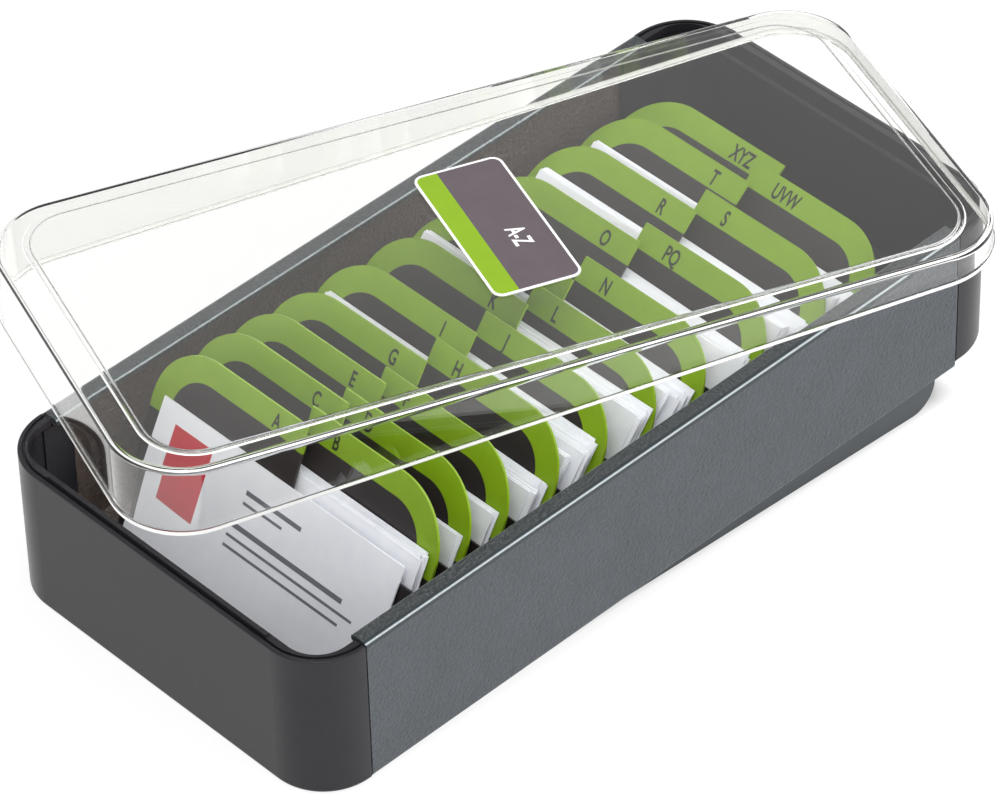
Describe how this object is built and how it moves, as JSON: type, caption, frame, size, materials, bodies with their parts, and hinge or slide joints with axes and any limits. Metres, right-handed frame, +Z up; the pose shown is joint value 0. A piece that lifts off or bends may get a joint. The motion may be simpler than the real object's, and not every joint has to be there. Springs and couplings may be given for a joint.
{
  "type": "business card box",
  "caption": "Long card box: steel tray with moulded ends on a wedge foot, lettered index dividers and card packs leaning back, and a clear lid lying askew on the tabs.",
  "frame": {"origin": "on the table under the middle of the box, on the riser foot's underside", "axes": "+X to the right seen from the front, +Y from the front end to the rear, +Z up from the table; the tray's bottom is tilted 4.2 degrees, rear end up"},
  "size_m": [0.1778, 0.2608, 0.0865],
  "materials": {
    "powder_coated_steel": "fine wrinkle powder coat, dark grey",
    "moulded_ends": "satin dark grey ABS",
    "riser": "moulded dark grey ABS",
    "clear_lid": "clear polished polystyrene",
    "label_film": "printed film, satin",
    "divider_sheet": "polypropylene sheet, dark, with a printed green band",
    "card_stock": "white uncoated card"
  },
  "bodies": {
    "tray": {"tray_channel": "powder_coated_steel", "front_end_cap": "moulded_ends", "rear_end_cap": "moulded_ends", "riser_foot": "riser"},
    "lid": {"lid": "clear_lid", "lid_label": "label_film"},
    "single_card": {"card_front": "card_stock"},
    "leaf_a": {"divider_a": "divider_sheet"},
    "pack_a_b": {"cards_a_b": "card_stock"},
    "leaf_b": {"divider_b": "divider_sheet"},
    "leaf_c": {"divider_c": "divider_sheet"},
    "pack_c_d": {"cards_c_d": "card_stock"},
    "leaf_d": {"divider_d": "divider_sheet"},
    "leaf_e": {"divider_e": "divider_sheet"},
    "pack_e_f": {"cards_e_f": "card_stock"},
    "leaf_f": {"divider_f": "divider_sheet"},
    "leaf_g": {"divider_g": "divider_sheet"},
    "pack_g_h": {"cards_g_h": "card_stock"},
    "leaf_h": {"divider_h": "divider_sheet"},
    "leaf_i": {"divider_i": "divider_sheet"},
    "pack_i_j": {"cards_i_j": "card_stock"},
    "leaf_j": {"divider_j": "divider_sheet"},
    "leaf_k": {"divider_k": "divider_sheet"},
    "pack_k_l": {"cards_k_l": "card_stock"},
    "leaf_l": {"divider_l": "divider_sheet"},
    "leaf_m": {"divider_m": "divider_sheet"},
    "pack_m_n": {"cards_m_n": "card_stock"},
    "leaf_n": {"divider_n": "divider_sheet"},
    "leaf_o": {"divider_o": "divider_sheet"},
    "pack_o_pq": {"cards_o_pq": "card_stock"},
    "leaf_pq": {"divider_pq": "divider_sheet"},
    "leaf_r": {"divider_r": "divider_sheet"},
    "pack_r_s": {"cards_r_s": "card_stock"},
    "leaf_s": {"divider_s": "divider_sheet"},
    "leaf_t": {"divider_t": "divider_sheet"},
    "pack_t_uvw": {"cards_t_uvw": "card_stock"},
    "leaf_uvw": {"divider_uvw": "divider_sheet"},
    "leaf_xyz": {"divider_xyz": "divider_sheet"}
  },
  "joints": [
    {"name": "lid_lift", "type": "slide", "parent": "tray", "child": "lid", "axis": [0, -0.0732, 0.9973], "range_m": [0, 0.12]},
    {"name": "single_card_tip", "type": "hinge", "parent": "tray", "child": "single_card", "pos_m": [0, -0.10317, 0.00322], "axis": [1, 0, 0], "range_deg": [0, 18]},
    {"name": "leaf_a_tip", "type": "hinge", "parent": "tray", "child": "leaf_a", "pos_m": [0, -0.09809, 0.00359], "axis": [1, 0, 0], "range_deg": [0, 18]},
    {"name": "pack_a_b_tip", "type": "hinge", "parent": "tray", "child": "pack_a_b", "pos_m": [0, -0.09776, 0.00362], "axis": [1, 0, 0], "range_deg": [0, 18]},
    {"name": "leaf_b_tip", "type": "hinge", "parent": "tray", "child": "leaf_b", "pos_m": [0, -0.093, 0.00396], "axis": [1, 0, 0], "range_deg": [0, 18]},
    {"name": "leaf_c_tip", "type": "hinge", "parent": "tray", "child": "leaf_c", "pos_m": [0, -0.08712, 0.0044], "axis": [1, 0, 0], "range_deg": [0, 18]},
    {"name": "pack_c_d_tip", "type": "hinge", "parent": "tray", "child": "pack_c_d", "pos_m": [0, -0.08678, 0.00442], "axis": [1, 0, 0], "range_deg": [0, 18]},
    {"name": "leaf_d_tip", "type": "hinge", "parent": "tray", "child": "leaf_d", "pos_m": [0, -0.08432, 0.0046], "axis": [1, 0, 0], "range_deg": [0, 18]},
    {"name": "leaf_e_tip", "type": "hinge", "parent": "tray", "child": "leaf_e", "pos_m": [0, -0.07704, 0.00514], "axis": [1, 0, 0], "range_deg": [0, 18]},
    {"name": "pack_e_f_tip", "type": "hinge", "parent": "tray", "child": "pack_e_f", "pos_m": [0, -0.0767, 0.00516], "axis": [1, 0, 0], "range_deg": [0, 18]},
    {"name": "leaf_f_tip", "type": "hinge", "parent": "tray", "child": "leaf_f", "pos_m": [0, -0.07335, 0.00541], "axis": [1, 0, 0], "range_deg": [0, 18]},
    {"name": "leaf_g_tip", "type": "hinge", "parent": "tray", "child": "leaf_g", "pos_m": [0, -0.06547, 0.00598], "axis": [1, 0, 0], "range_deg": [0, 18]},
    {"name": "pack_g_h_tip", "type": "hinge", "parent": "tray", "child": "pack_g_h", "pos_m": [0, -0.06512, 0.00601], "axis": [1, 0, 0], "range_deg": [0, 18]},
    {"name": "leaf_h_tip", "type": "hinge", "parent": "tray", "child": "leaf_h", "pos_m": [0, -0.05799, 0.00654], "axis": [1, 0, 0], "range_deg": [0, 18]},
    {"name": "leaf_i_tip", "type": "hinge", "parent": "tray", "child": "leaf_i", "pos_m": [0, -0.05031, 0.0071], "axis": [1, 0, 0], "range_deg": [0, 18]},
    {"name": "pack_i_j_tip", "type": "hinge", "parent": "tray", "child": "pack_i_j", "pos_m": [0, -0.04995, 0.00713], "axis": [1, 0, 0], "range_deg": [0, 18]},
    {"name": "leaf_j_tip", "type": "hinge", "parent": "tray", "child": "leaf_j", "pos_m": [0, -0.04294, 0.00764], "axis": [1, 0, 0], "range_deg": [0, 18]},
    {"name": "leaf_k_tip", "type": "hinge", "parent": "tray", "child": "leaf_k", "pos_m": [0, -0.03446, 0.00826], "axis": [1, 0, 0], "range_deg": [0, 18]},
    {"name": "pack_k_l_tip", "type": "hinge", "parent": "tray", "child": "pack_k_l", "pos_m": [0, -0.03408, 0.00829], "axis": [1, 0, 0], "range_deg": [0, 18]},
    {"name": "leaf_l_tip", "type": "hinge", "parent": "tray", "child": "leaf_l", "pos_m": [0, -0.02748, 0.00878], "axis": [1, 0, 0], "range_deg": [0, 18]},
    {"name": "leaf_m_tip", "type": "hinge", "parent": "tray", "child": "leaf_m", "pos_m": [0, -0.0203, 0.0093], "axis": [1, 0, 0], "range_deg": [0, 18]},
    {"name": "pack_m_n_tip", "type": "hinge", "parent": "tray", "child": "pack_m_n", "pos_m": [0, -0.0199, 0.00933], "axis": [1, 0, 0], "range_deg": [0, 18]},
    {"name": "leaf_n_tip", "type": "hinge", "parent": "tray", "child": "leaf_n", "pos_m": [0, -0.01132, 0.00996], "axis": [1, 0, 0], "range_deg": [0, 18]},
    {"name": "leaf_o_tip", "type": "hinge", "parent": "tray", "child": "leaf_o", "pos_m": [0, 0.00204, 0.01094], "axis": [1, 0, 0], "range_deg": [0, 18]},
    {"name": "pack_o_pq_tip", "type": "hinge", "parent": "tray", "child": "pack_o_pq", "pos_m": [0, 0.00246, 0.01097], "axis": [1, 0, 0], "range_deg": [0, 18]},
    {"name": "leaf_pq_tip", "type": "hinge", "parent": "tray", "child": "leaf_pq", "pos_m": [0, 0.00882, 0.01144], "axis": [1, 0, 0], "range_deg": [0, 18]},
    {"name": "leaf_r_tip", "type": "hinge", "parent": "tray", "child": "leaf_r", "pos_m": [0, 0.02109, 0.01234], "axis": [1, 0, 0], "range_deg": [0, 18]},
    {"name": "pack_r_s_tip", "type": "hinge", "parent": "tray", "child": "pack_r_s", "pos_m": [0, 0.02153, 0.01237], "axis": [1, 0, 0], "range_deg": [0, 18]},
    {"name": "leaf_s_tip", "type": "hinge", "parent": "tray", "child": "leaf_s", "pos_m": [0, 0.02927, 0.01294], "axis": [1, 0, 0], "range_deg": [0, 18]},
    {"name": "leaf_t_tip", "type": "hinge", "parent": "tray", "child": "leaf_t", "pos_m": [0, 0.03914, 0.01367], "axis": [1, 0, 0], "range_deg": [0, 18]},
    {"name": "pack_t_uvw_tip", "type": "hinge", "parent": "tray", "child": "pack_t_uvw", "pos_m": [0, 0.0396, 0.0137], "axis": [1, 0, 0], "range_deg": [0, 18]},
    {"name": "leaf_uvw_tip", "type": "hinge", "parent": "tray", "child": "leaf_uvw", "pos_m": [0, 0.04692, 0.01424], "axis": [1, 0, 0], "range_deg": [0, 18]},
    {"name": "leaf_xyz_tip", "type": "hinge", "parent": "tray", "child": "leaf_xyz", "pos_m": [0, 0.05081, 0.01452], "axis": [1, 0, 0], "range_deg": [0, 18]}
  ],
  "couplings": [
    {"joint": "single_card_tip", "follows": "lid_lift", "rad_per_m": 2.618},
    {"joint": "leaf_a_tip", "follows": "lid_lift", "rad_per_m": 2.618},
    {"joint": "pack_a_b_tip", "follows": "lid_lift", "rad_per_m": 2.618},
    {"joint": "leaf_b_tip", "follows": "lid_lift", "rad_per_m": 2.618},
    {"joint": "leaf_c_tip", "follows": "lid_lift", "rad_per_m": 2.618},
    {"joint": "pack_c_d_tip", "follows": "lid_lift", "rad_per_m": 2.618},
    {"joint": "leaf_d_tip", "follows": "lid_lift", "rad_per_m": 2.618},
    {"joint": "leaf_e_tip", "follows": "lid_lift", "rad_per_m": 2.618},
    {"joint": "pack_e_f_tip", "follows": "lid_lift", "rad_per_m": 2.618},
    {"joint": "leaf_f_tip", "follows": "lid_lift", "rad_per_m": 2.618},
    {"joint": "leaf_g_tip", "follows": "lid_lift", "rad_per_m": 2.618},
    {"joint": "pack_g_h_tip", "follows": "lid_lift", "rad_per_m": 2.618},
    {"joint": "leaf_h_tip", "follows": "lid_lift", "rad_per_m": 2.618},
    {"joint": "leaf_i_tip", "follows": "lid_lift", "rad_per_m": 2.618},
    {"joint": "pack_i_j_tip", "follows": "lid_lift", "rad_per_m": 2.618},
    {"joint": "leaf_j_tip", "follows": "lid_lift", "rad_per_m": 2.618},
    {"joint": "leaf_k_tip", "follows": "lid_lift", "rad_per_m": 2.618},
    {"joint": "pack_k_l_tip", "follows": "lid_lift", "rad_per_m": 2.618},
    {"joint": "leaf_l_tip", "follows": "lid_lift", "rad_per_m": 2.618},
    {"joint": "leaf_m_tip", "follows": "lid_lift", "rad_per_m": 2.618},
    {"joint": "pack_m_n_tip", "follows": "lid_lift", "rad_per_m": 2.618},
    {"joint": "leaf_n_tip", "follows": "lid_lift", "rad_per_m": 2.618},
    {"joint": "leaf_o_tip", "follows": "lid_lift", "rad_per_m": 2.618},
    {"joint": "pack_o_pq_tip", "follows": "lid_lift", "rad_per_m": 2.618},
    {"joint": "leaf_pq_tip", "follows": "lid_lift", "rad_per_m": 2.618},
    {"joint": "leaf_r_tip", "follows": "lid_lift", "rad_per_m": 2.618},
    {"joint": "pack_r_s_tip", "follows": "lid_lift", "rad_per_m": 2.618},
    {"joint": "leaf_s_tip", "follows": "lid_lift", "rad_per_m": 2.618},
    {"joint": "leaf_t_tip", "follows": "lid_lift", "rad_per_m": 2.618},
    {"joint": "pack_t_uvw_tip", "follows": "lid_lift", "rad_per_m": 2.618},
    {"joint": "leaf_uvw_tip", "follows": "lid_lift", "rad_per_m": 2.618},
    {"joint": "leaf_xyz_tip", "follows": "lid_lift", "rad_per_m": 2.618}
  ]
}
